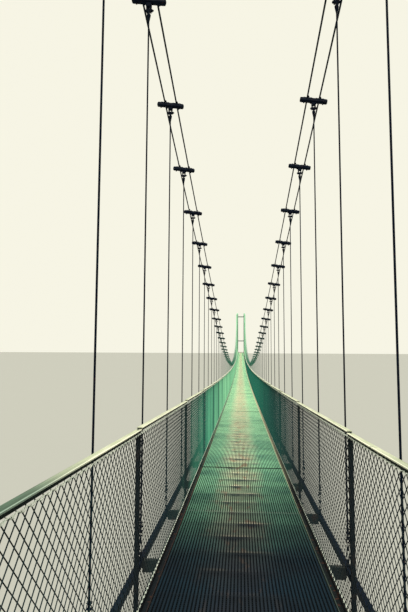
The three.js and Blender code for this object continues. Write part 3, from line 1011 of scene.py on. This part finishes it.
def foot_rail_lengths(side, start, end):
    """Angle lengths whose inner lip lies beside the grating."""
    inner, outer, thin = FENCE_INNER, FENCE_OUTER, 0.5 * MM
    under, top, lip = -DECK_DEPTH, 1 * MM, DECK_HALF + GAP
    foot_rail = on_side(side, [
        (lip, under), (outer, under), (outer, under + thin), (inner + thin, under + thin),
        (inner + thin, top), (inner, top), (inner, under + thin), (lip, under + thin),
    ])
    shape = Shape()
    for low, high in rail_lengths(start, end):
        shape.swept(foot_rail, (low, high), chord_z)
    return shape.piece("foot rail", finishes["foot rail"])


def fence_post(side):
    """An angle post with a foot cleat, a cap plate under the handrail and its bolts."""
    x0, x1, thin, half = 71.3 * MM, FENCE_OUTER, 0.5 * MM, 2 * MM
    centre_x, bolt_radius = 72.4 * MM, 0.35 * MM
    angle = [
        (x0, -half), (x1, -half), (x1, -half + thin), (x0 + thin, -half + thin),
        (x0 + thin, half), (x0, half),
    ]
    shape = Shape().upward(angle, -DECK_DEPTH + thin, RAIL_TOP - 0.6 * MM)
    shape.block((centre_x, 0.0, -4.0 * MM), mm(9, 5, 0.7))
    shape.block((centre_x, 0.0, RAIL_TOP - 0.95 * MM), mm(3, 9, 0.7))
    for y in mm(-3, 3):
        head, tip = RAIL_TOP - 0.25 * MM, RAIL_TOP - 3 * MM
        shape.bolt((centre_x, y, head), (centre_x, y, tip), bolt_radius)
    for z in mm(3, 60, 116):
        shape.bolt((x0 - 0.2 * MM, 0.6 * MM, z), (x0 + 1.6 * MM, 0.6 * MM, z), bolt_radius)
    if side < 0:
        shape.placed(Matrix.Scale(-1, 4, (1, 0, 0)))
    return shape.piece("post")


def line_wires(side, start, end):
    shape = Shape()
    for level in LINE_LEVELS:
        outline = [
            (side * NET_X + x * LINE_WIRE, level + z * LINE_WIRE)
            for x, z in ((1, 0), (0, 1), (-1, 0), (0, -1))
        ]
        shape.swept(outline, stations(start, end, POST_PITCH, FIRST_POST_Y), chord_z)
    return shape.piece("line wires", finishes["wire"])


def net_wire(lean):
    """A straight wire of the netting that leans 45 degrees forwards or back, cut level at its ends."""
    rings = []
    for rise in (0, NET_TOP - NET_BOTTOM):
        y, z = lean * rise, NET_BOTTOM + rise
        rings.append([
            (NET_WIRE * math.cos(a), y + NET_WIRE * math.sqrt(2) * math.sin(a), z)
            for a in (0, math.tau / 3, 2 * math.tau / 3)
        ])
    return Shape().loft(rings).piece("net wire")


def netting(side, start, end):
    """Two layers of wires that lean opposite ways and touch where they cross."""
    rise = NET_TOP - NET_BOTTOM
    made = []
    for lean in (1, -1):
        wire = net_wire(lean)
        first = start + MESH_WIDTH / 2 - (rise if lean > 0 else 0)
        row = {"Part": wire, "Count": int((end - start + rise) / MESH_WIDTH), "Lean": float(lean)}
        row.update(Start=(side * (NET_X - lean * NET_WIRE), first, 0.0), Step=(0.0, MESH_WIDTH, 0.0))
        row.update(From=start, To=end, Finish=finishes["fence"])
        made.append(grow(draped, "wires", **row, **ON_DECK))
        drop_templates(wire)
    return made


def wound_lacing(side, start, end):
    """The wires wound round the two line wires of a length of fence."""
    wound = {"From": start + LACING_INSET, "Across": side * NET_X, "Finish": finishes["wire"]}
    wound.update(Count=int((end - start - 2 * LACING_INSET) / LACING_STEP))
    wound.update(Radius=LACING_RADIUS, Wire=LACING_WIRE)
    return [grow(lacing, "lacing", Height=level, **wound) for level in LINE_LEVELS]


def fence_posts(side, number):
    post = fence_post(side)
    first = -HALF_SPAN + (number - 1) * SECTION_LENGTH + POST_OFFSET
    row = {"Part": post, "First": first, "Pitch": POST_PITCH, "Finish": finishes["post"]}
    posts = grow(standing, "posts", Count=round(SECTION_LENGTH / POST_PITCH), **row, **ON_DECK)
    drop_templates(post)
    return posts


def make_fence(word, side, number):
    span = side, *section_span(number, SECTIONS)
    for name, made in (
        ("fence_posts", [fence_posts(side, number), foot_rail_lengths(*span)]),
        ("handrail", [handrail_lengths(*span)]),
        ("netting", netting(*span)),
        ("lacing", [line_wires(*span), *wound_lacing(*span)]),
    ):
        settle(join(f"{word}_{name}_{number}", made), f"{word}_fence_{number}")


# Hangers and the crossbars under the cables

HANGER_RADIUS = 0.75 * MM
ROPE_FOOT = 19 * MM
ROPE_HEAD = 21 * MM


def crossbar():
    """A bar with rounded ends, a strap over each cable and the bolts that hold it."""
    half, top = BAR_LENGTH / 2, BAR_SIZE / 2
    section = [(1, 0.6), (0.6, 1), (-0.6, 1), (-1, 0.6), (-1, -0.6), (-0.6, -1), (0.6, -1), (1, -0.6)]
    ends = [(-half, 0.62), (-half + 0.6 * MM, 0.9), (-half + 1.6 * MM, 1.0)]
    ends += [(-x, share) for x, share in reversed(ends)]
    shape = Shape().loft([
        [(x, a * top * share, b * top * share) for a, b in section] for x, share in ends
    ])
    reach, foot, strap_half, strap_depth = CABLE_RADIUS + 0.15 * MM, 5.3 * MM, 1.6 * MM, 0.5 * MM
    for centre in (-CABLE_SPREAD, CABLE_SPREAD):
        arch = [
            (centre + reach * math.cos(a), top + 1.5 * MM + reach * math.sin(a))
            for a in (math.radians(step) for step in (180, 135, 90, 45, 0))
        ]
        path = [
            (centre - foot, top), (centre - reach, top), *arch,
            (centre + reach, top), (centre + foot, top),
        ]
        shape.strap(path, -strap_half, strap_half, strap_depth)
        for x in (centre - 4.2 * MM, centre + 4.2 * MM):
            shape.bolt((x, 0, top + strap_depth), (x, 0, -top - 2.2 * MM), 0.5 * MM, 0.8 * MM)
    return shape.piece("crossbar")


def hanger_head():
    """Block, shackle, pin, fork and rope socket that hang below a crossbar's middle."""
    pin_z, socket_z = -10, -13.4
    socket = mm(0, 1.6), mm(1, 2.1), mm(3.2, 1.8), mm(8, 0.8)
    shape = Shape().block(mm(0, 0, -4.4), mm(5.2, 4.6, 3.4))
    for side in (-1, 1):
        shape.block(mm(side * 1.8, 0, -8.8), mm(1.3, 3.6, 5.6))
        shape.rod(mm(side * 2.4, 0, pin_z), mm(side * 3.8, 0, pin_z), 1.4 * MM)
    shape.rod(mm(-4.2, 0, pin_z), mm(4.8, 0, pin_z), 0.75 * MM, 8)
    shape.block(mm(0, 0, -11.6), mm(1.8, 2.8, 5.6))
    shape.turned(mm(0, 0, socket_z), (0, 0, -1), socket, 8)
    return shape.piece("hanger head")


def hanger_foot():
    """Nuts, threaded rod, turnbuckle and rope clips where a hanger meets the edge angle."""
    lower_nut, upper_nut, washer = (-6.6, -4.05, 1.2), (-3.35, -1.9, 1.2), (-1.9, -1.6, 1.7)
    turnbuckle_ends, clip_levels = (0.5, 11.0), (21, 24.5, 28)
    shape = Shape().rod(mm(0, 0, -10.5), mm(0, 0, 3), 0.55 * MM)
    for low, high, radius in (lower_nut, upper_nut, washer):
        shape.rod(mm(0, 0, low), mm(0, 0, high), radius * MM)
    for low in turnbuckle_ends:
        shape.rod(mm(0, 0, low), mm(0, 0, low + 2.2), 1.15 * MM, 8)
    for x in (-0.95, 0.95):
        shape.rod(mm(x, 0, 2), mm(x, 0, 11.6), 0.38 * MM)
    shape.rod(mm(0, 0, 10), mm(0, 0, 17), 0.5 * MM)
    loop = [(-1.1, 0, 20.0), (-1.5, 0, 18.4), (0.0, 0, 16.2), (1.5, 0, 18.4), (1.1, 0, 20.0)]
    for start, end in zip(loop, loop[1:]):
        shape.rod(mm(*start), mm(*end), 0.5 * MM)
    for z in clip_levels:
        shape.block(mm(0.3, 0, z), mm(2.5, 1.7, 1.1))
        for y in (-0.9, 0.9):
            shape.rod(mm(-1.6, y, z), mm(2.2, y, z), 0.25 * MM, 5)
    return shape.piece("hanger foot")


def edge_angle(side, start, end):
    """The angle that ties the crossbeams' ends and carries the feet of the hangers."""
    inner, outer = HANGER_X - 2 * MM, HANGER_X + 2 * MM
    thin, low, top = 0.6 * MM, BEAM_TOP - JOIST_DEPTH, BEAM_TOP
    profile = on_side(side, [
        (inner, low), (inner + thin, low), (inner + thin, top - thin), (outer, top - thin),
        (outer, top), (inner, top),
    ])
    shape = Shape().swept(profile, stations(start, end, POST_PITCH), deck_z)
    return shape.piece("edge angle", finishes["steel"])


def make_hangers(word, side, number):
    start, end = section_span(number, SECTIONS, FRAME_SHIFT)
    places = hanger_places(start, end)
    where = {"First": places[0], "Count": len(places), "Across": side * HANGER_X}
    where.update(Finish=finishes["steel"])
    on_bar = {"Pitch": HANGER_PITCH, "Drop": BAR_DROP, "Tilt": PAIR_TILT, **where, **ON_CABLE}
    bar, head, foot = crossbar(), hanger_head(), hanger_foot()
    bars = grow(standing, "bars", Part=bar, Follow=1.0, **on_bar)
    heads = grow(standing, "heads", Part=head, Follow=0.0, **on_bar)
    feet = grow(standing, "feet", Part=foot, Pitch=HANGER_PITCH, **where, **ON_DECK)
    rope = Shape().rod((0, 0, 0), (0, 0, 1), HANGER_RADIUS, 8).piece("rope")
    ropes = grow(hanging, "ropes", Part=rope, Foot=ROPE_FOOT, Head=BAR_DROP + ROPE_HEAD, **where)
    drop_templates(bar, head, foot, rope)
    for name, made in (
        ("crossbars", [bars, heads]),
        ("hanger_ropes", [ropes, feet, edge_angle(side, start, end)]),
    ):
        settle(join(f"{word}_{name}_{number}", made), f"{word}_hangers_{number}")


# Main cables

ROPE_SIDES = 10
SADDLE_BEND = 30 * MM
BEND_STEPS = 14
BACKSTAY_ANGLE = math.radians(28.3)
ANCHOR_FACE_Y = 9.570
SOCKET_LENGTH = 50 * MM
LAST_RUN = 300 * MM
TOWER_SLOPE = math.atan((cable_z(HALF_SPAN) - cable_z(HALF_SPAN - LAST_RUN)) / LAST_RUN)
BEND_START_Y = TOWER_Y - SADDLE_BEND * math.sin(TOWER_SLOPE)
BEND_START_Z = cable_z(HALF_SPAN) + (BEND_START_Y - HALF_SPAN) * math.tan(TOWER_SLOPE)
BEND_CENTRE_Z = BEND_START_Z - SADDLE_BEND * math.cos(TOWER_SLOPE)


def saddle_bend():
    """The (y, z) places of a cable over the far saddle, from the main span to the backstay."""
    points = []
    for step in range(BEND_STEPS + 1):
        angle = -TOWER_SLOPE + (BACKSTAY_ANGLE + TOWER_SLOPE) * step / BEND_STEPS
        y = TOWER_Y + SADDLE_BEND * math.sin(angle)
        points.append((y, BEND_CENTRE_Z + SADDLE_BEND * math.cos(angle)))
    return points


def backstay_z(y):
    top_y, top_z = saddle_bend()[-1]
    return top_z - (y - top_y) * math.tan(BACKSTAY_ANGLE)


def cable_path(x):
    """The line of a main cable from socket to socket. The right one of a pair lies a little lower."""
    end_y = ANCHOR_FACE_Y - (SOCKET_LENGTH + 2 * GAP) * math.cos(BACKSTAY_ANGLE)
    middle_y = (end_y + TOWER_Y) / 2
    half = [(end_y, backstay_z(end_y)), (middle_y, backstay_z(middle_y)), *reversed(saddle_bend())]
    beside = x - math.copysign(HANGER_X, x)
    points = [Vector((x, -y, z)) for y, z in half]
    for y in stations(-HALF_SPAN, HALF_SPAN, HANGER_PITCH):
        points.append(Vector((x, y, cable_z(y) - beside * math.tan(pair_tilt(y)))))
    return points + [Vector((x, y, z)) for y, z in reversed(half)]


def main_cable(name, path):
    """A rope along a path, whose UV map goes round it and counts its diameters."""
    rings = []
    for number, point in enumerate(path):
        before, after = path[max(number - 1, 0)], path[min(number + 1, len(path) - 1)]
        rings.append(ring(point, after - before, CABLE_RADIUS, ROPE_SIDES))
    rope = Shape().loft(rings).piece(name, finishes["rope"])
    travelled = [0.0]
    for before, after in zip(path, path[1:]):
        travelled.append(travelled[-1] + (after - before).length / (2 * CABLE_RADIUS))
    layer = rope.data.uv_layers.new(name="round")
    for face in rope.data.polygons:
        corners = list(face.loop_indices)
        around = [rope.data.loops[loop].vertex_index % ROPE_SIDES for loop in corners]
        wraps = max(around) == ROPE_SIDES - 1 and min(around) == 0 and len(corners) == 4
        for loop, place in zip(corners, around):
            u = 1.0 if wraps and place == 0 else place / ROPE_SIDES
            row = rope.data.loops[loop].vertex_index // ROPE_SIDES
            layer.data[loop].uv = (u, travelled[row])
    rope.data.shade_smooth()
    rope.data.set_sharp_from_angle(angle=math.radians(40))
    return rope


def make_cables():
    for side_word, side in SIDES:
        for word, spread in (("outer", CABLE_SPREAD), ("inner", -CABLE_SPREAD)):
            rope = main_cable(f"{side_word}_{word}_rope", cable_path(side * (HANGER_X + spread)))
            settle(rope, f"{side_word}_{word}_cable")


# Towers

BATTEN_PITCH = 70 * MM
SADDLE_HALF = 18 * MM
SADDLE_STEPS = 12
GROOVE_HALF = 1.9 * MM


def make_tower_post(end, word, side):
    """A box column with an open channel on its walkway side, batten plates, foot and cap."""
    node = f"{end}_{word}_tower_post"
    low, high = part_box(node)
    half, wall = TOWER_POST / 2, 1.2 * MM
    recess, inner = 16 * MM, 24 * MM
    plate = high.x - low.x
    plate_depth, cap_depth = 3 * MM, 2 * MM
    outline = on_side(side, [
        (half, -half), (half, half), (-half + inner, half), (-half + inner, half - recess),
        (-half + wall, half - recess), (-half + wall, half), (-half, half), (-half, -half),
        (-half + wall, -half), (-half + wall, -half + recess), (-half + inner, -half + recess),
        (-half + inner, -half),
    ])
    plate_top = low.z + plate_depth
    shape = Shape().upward(outline, plate_top, high.z - cap_depth)
    shape.block((0, 0, low.z + plate_depth / 2), (plate, plate, plate_depth))
    shape.block((0, 0, high.z - cap_depth / 2), (2 * half, 2 * half, cap_depth))
    batten_x = side * (-half + inner / 2)
    count = int((high.z - plate_top) / BATTEN_PITCH)
    for face in (-1, 1):
        for number in range(1, count):
            z = plate_top + number * BATTEN_PITCH
            shape.block((batten_x, face * (half - 0.5 * MM), z), (inner, 1.0 * MM, 8 * MM))
            for dx in mm(-9, 9):
                for dz in mm(-2.2, 2.2):
                    x, bolt_z = batten_x + dx, z + dz
                    tip = (x, face * (half - 1 * MM), bolt_z)
                    shape.bolt((x, face * half, bolt_z), tip, 0.55 * MM)
        reach = plate / 2 - 1 * MM
        stiffener = [
            (face * half, plate_top), (face * reach, plate_top),
            (face * reach, plate_top + 2 * MM), (face * half, plate_top + 14 * MM),
        ]
        for x in (-0.7 * half, 0.7 * half):
            shape.crosswise(stiffener, x - 0.6 * MM, x + 0.6 * MM)
    inset = plate / 2 - 3 * MM
    for x in (-inset, inset):
        for y in (-inset, 0, inset):
            shape.rod((x, y, plate_top), (x, y, plate_top + 3.5 * MM), 0.9 * MM, 8)
            shape.rod((x, y, plate_top), (x, y, plate_top + 1.6 * MM), 1.8 * MM)
    shape.placed(Matrix.Translation(((low.x + high.x) / 2, (low.y + high.y) / 2, 0)))
    settle(shape.piece(f"{end}_{word}_tower_column", finishes["tower"]), node)


def make_tower_beam(end, word):
    """An I-beam with end plates, stiffeners and bolts."""
    node = f"{end}_tower_{word}_beam"
    low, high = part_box(node)
    half_y, z0, z1 = (high.y - low.y) / 2, low.z, high.z
    flange, web, plate = 1.6 * MM, 1.4 * MM, 1.2 * MM
    outline = i_section(half_y, z0, z1, flange, web)
    shape = Shape().crosswise(outline, low.x + 1 * MM, high.x - 1 * MM)
    for side in (-1, 1):
        shape.block((side * (high.x - plate / 2), 0, (z0 + z1) / 2), (plate, 2 * half_y, z1 - z0))
        for y in mm(-6, 6):
            for z in (z0 + 4.5 * MM, z1 - 4.5 * MM):
                x = side * (high.x - plate)
                shape.bolt((x, y, z), (x + side * 1 * MM, y, z), 0.7 * MM)
    stiffener = (0.9 * MM, half_y - web / 2 - 0.6 * MM, z1 - z0 - 2 * flange)
    for x in mm(-48, -24, 0, 24, 48):
        for y in (-1, 1):
            shape.block((x, y * (half_y + web / 2) / 2, (z0 + z1) / 2), stiffener)
    shape.placed(Matrix.Translation((0, (low.y + high.y) / 2, 0)))
    settle(shape.piece(f"{end}_tower_{word}_girder", finishes["tower"]), node)


def saddle_top(x, y):
    """The top of a saddle: ridges with a groove under each cable, falling to its shoulders."""
    in_groove = abs(abs(x) - CABLE_SPREAD) < GROOVE_HALF
    radius = SADDLE_BEND - CABLE_RADIUS - GAP if in_groove else SADDLE_BEND + 0.2 * MM
    return BEND_CENTRE_Z + math.sqrt(radius**2 - y**2)


def make_saddle(end, word):
    """A casting with two grooves, bolted down at its four corners."""
    node = f"{end}_{word}_saddle"
    low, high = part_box(node)
    half_x = (high.x - low.x) / 2
    inside, outside = GROOVE_HALF - 0.05 * MM, GROOVE_HALF + 0.05 * MM
    groove = [CABLE_SPREAD + edge for edge in (-outside, -inside, inside, outside)]
    xs = [-half_x, *(-x for x in reversed(groove)), *groove, half_x]
    rings = []
    for step in range(SADDLE_STEPS + 1):
        y = -SADDLE_HALF + step * 2 * SADDLE_HALF / SADDLE_STEPS
        top = [(x, y, saddle_top(x, y)) for x in xs]
        rings.append([(half_x, y, low.z), *reversed(top), (-half_x, y, low.z)])
    shape = Shape().loft(rings)
    for x in (-half_x + 3 * MM, half_x - 3 * MM):
        for y in mm(-15.5, 15.5):
            shape.bolt((x, y, saddle_top(x, y) - 0.2 * MM), (x, y, low.z + 1 * MM), 0.8 * MM)
    shape.placed(Matrix.Translation(((low.x + high.x) / 2, (low.y + high.y) / 2, 0)))
    settle(shape.piece(f"{end}_{word}_saddle_casting", finishes["steel"]), node)


def make_socket(end, word, direction):
    """Anchor plate, two rope sockets and their threaded rods, along the backstays' line."""
    node = f"{end}_{word}_anchor_socket"
    low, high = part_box(node)
    half = SOCKET_LENGTH / 2
    width, plate, height = mm(34, 3.2, 20)
    face = half - plate
    cone = mm(0, 1.5), mm(3, 2.2), mm(13, 4.2), mm(18, 4.6), mm(19, 3.9)
    nut_radius = 3.6 * MM
    shape = Shape().block((0, half - plate / 2, 0), (width, plate, height))
    for x in (-CABLE_SPREAD, CABLE_SPREAD):
        shape.turned((x, -half, 0), (0, 1, 0), cone, 14)
        shape.rod((x, -half + 18 * MM, 0), (x, half - 3 * MM, 0), 1.9 * MM, 10)
        shape.rod((x, half - 8.6 * MM, 0), (x, face, 0), nut_radius)
        shape.rod((x, half - 12.4 * MM, 0), (x, half - 9.2 * MM, 0), nut_radius)
    for x in mm(-14.5, 0, 14.5):
        for z in mm(-7.5, 7.5):
            shape.rod((x, half - 5.0 * MM, z), (x, face, z), 1.7 * MM)
            shape.rod((x, half - 6.2 * MM, z), (x, half - 4.8 * MM, z), 0.9 * MM, 8)
    turn = Matrix.Rotation(-BACKSTAY_ANGLE, 4, "X")
    if direction < 0:
        turn = Matrix.Rotation(math.pi, 4, "Z") @ turn
    shape.placed(Matrix.Translation((low + high) / 2) @ turn)
    settle(shape.piece(f"{end}_{word}_rope_socket", finishes["steel"]), node)


# Concrete


def make_concrete(node, name):
    """The cast block of a node with its arrises chamfered."""
    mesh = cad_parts[node].data.copy()
    solid = bmesh.new()
    solid.from_mesh(mesh)
    bmesh.ops.remove_doubles(solid, verts=solid.verts, dist=0.01 * MM)
    bmesh.ops.dissolve_limit(
        solid, angle_limit=math.radians(1), verts=solid.verts, edges=solid.edges
    )
    sharp = [edge for edge in solid.edges if edge.calc_face_angle(0) > math.radians(20)]
    bmesh.ops.bevel(solid, geom=sharp, offset=CHAMFER, segments=1, affect="EDGES")
    solid.to_mesh(mesh)
    solid.free()
    mesh.materials.clear()
    mesh.materials.append(finishes["concrete"])
    settle(in_scene(name, mesh), node)


# Assembly of the whole bridge

for number in range(1, GRATINGS + 1):
    make_grating(number)
for number in range(1, SECTIONS + 1):
    make_crossbeams(number)
    for word, side in SIDES:
        make_fence(word, side, number)
        make_hangers(word, side, number)
make_cables()
for end, direction in ENDS:
    for word, side in SIDES:
        make_tower_post(end, word, side)
        make_saddle(end, word)
        make_socket(end, word, direction)
    for word in ("portal", "head"):
        make_tower_beam(end, word)
    make_concrete(f"{end}_abutment", f"{end}_abutment_block")
    make_concrete(f"{end}_anchor_block", f"{end}_anchorage")


# Camera, floor and light

EYE_X = -1.19 * MM
EYE_Y = -5.395
EYE_HEIGHT = 164.2 * MM  # over the deck
FOCAL_PIXELS = 490
FRAME_PIXELS = 612  # the height of the photograph, which is its longer side
PITCH = 0.08974  # the camera's three angles are in radians
YAW = 0.07513
ROLL = -0.0046
FLOOR_HALF = 60
FLOOR_DEPTH = 20 * MM
AMBIENT = 0.4
BACKDROP = 0.93
KEY_ENERGY = 5.7
KEY_WIDTH = math.radians(70)
KEY_WAY = (0.0, 0.24, -0.97)


def make_camera():
    camera = bpy.data.cameras.new("view along the deck")
    camera.sensor_width = 36
    camera.lens = FOCAL_PIXELS / FRAME_PIXELS * camera.sensor_width
    camera.clip_start = 10 * MM
    camera.clip_end = 200
    eye = in_scene("camera", camera)
    ahead = Vector((
        -math.sin(YAW) * math.cos(PITCH), math.cos(YAW) * math.cos(PITCH), math.sin(PITCH),
    ))
    eye.location = (EYE_X, EYE_Y, deck_z(EYE_Y) + EYE_HEIGHT)
    eye.rotation_mode = "QUATERNION"
    level = ahead.to_track_quat("-Z", "Y")
    eye.rotation_quaternion = Matrix.Rotation(ROLL, 3, ahead).to_quaternion() @ level
    bpy.context.scene.camera = eye


def make_floor():
    f = Finish("pale studio floor", base_color=(0.275, 0.28, 0.255, 1.0), roughness=0.95)
    slab = Shape().box((-FLOOR_HALF, -FLOOR_HALF, -FLOOR_DEPTH), (FLOOR_HALF, FLOOR_HALF, 0))
    slab.piece("studio_floor", f.material)


def make_light():
    """A bright even backdrop for the camera, a weaker one as fill light, and one wide soft key."""
    world = bpy.data.worlds.new("studio")
    bpy.context.scene.world = world
    world.use_nodes = True
    g = Graph(world.node_tree)
    seen = g.add("ShaderNodeLightPath", None, None, "Is Camera Ray")
    shade = {"Color": (1.0, 0.98, 0.84, 1.0), "Strength": seen * (BACKDROP - AMBIENT) + AMBIENT}
    background = g.add("ShaderNodeBackground", None, shade)
    output = g.tree.nodes.new("ShaderNodeOutputWorld")
    g.tree.links.new(background.socket, output.inputs[0])
    sun = bpy.data.lights.new("soft key", "SUN")
    sun.energy = KEY_ENERGY
    sun.angle = KEY_WIDTH
    sun.color = (1.0, 0.97, 0.88)
    key = in_scene("key", sun)
    key.rotation_mode = "QUATERNION"
    key.rotation_quaternion = Vector(KEY_WAY).to_track_quat("-Z", "Y")


bpy.context.scene.view_settings.view_transform = "Standard"
make_camera()
make_floor()
make_light()
